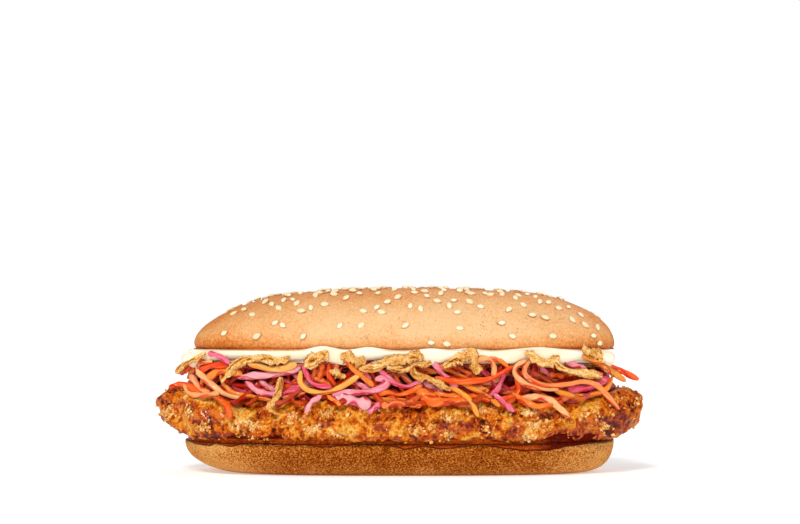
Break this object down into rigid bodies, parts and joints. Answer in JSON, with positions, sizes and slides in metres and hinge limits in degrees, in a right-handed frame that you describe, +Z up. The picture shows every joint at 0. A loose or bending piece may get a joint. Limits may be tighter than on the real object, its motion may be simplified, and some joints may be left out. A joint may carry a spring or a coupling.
{
  "type": "filled sandwich roll",
  "caption": "Long seeded sandwich roll with a breaded vegetable patty, shredded vegetables, crisp fried onions, white sauce and a dark glaze.",
  "frame": {"origin": "middle of the flat underside of the lower half of the roll, on the surface that it stands on", "axes": "+X along the roll, -Y towards the side shown in the picture, +Z up"},
  "size_m": [0.193, 0.0881, 0.0734],
  "materials": {
    "bread_base": "grainy baked bread underside",
    "dark_glaze": "wet dark glaze",
    "breaded_crust": "craggy fried crumb with glossy patches",
    "shredded_vegetable": "moist orange, pink and red strips",
    "fried_onion": "dry golden fried batter",
    "white_sauce": "smooth creamy white",
    "bread_crust": "satin golden crust with pale seeds"
  },
  "bodies": {
    "root": {"heel": "bread_base", "sauce": "dark_glaze", "patty": "breaded_crust", "slaw": "shredded_vegetable", "fried_onions": "fried_onion", "mayo": "white_sauce", "crown": "bread_crust"}
  },
  "joints": []
}
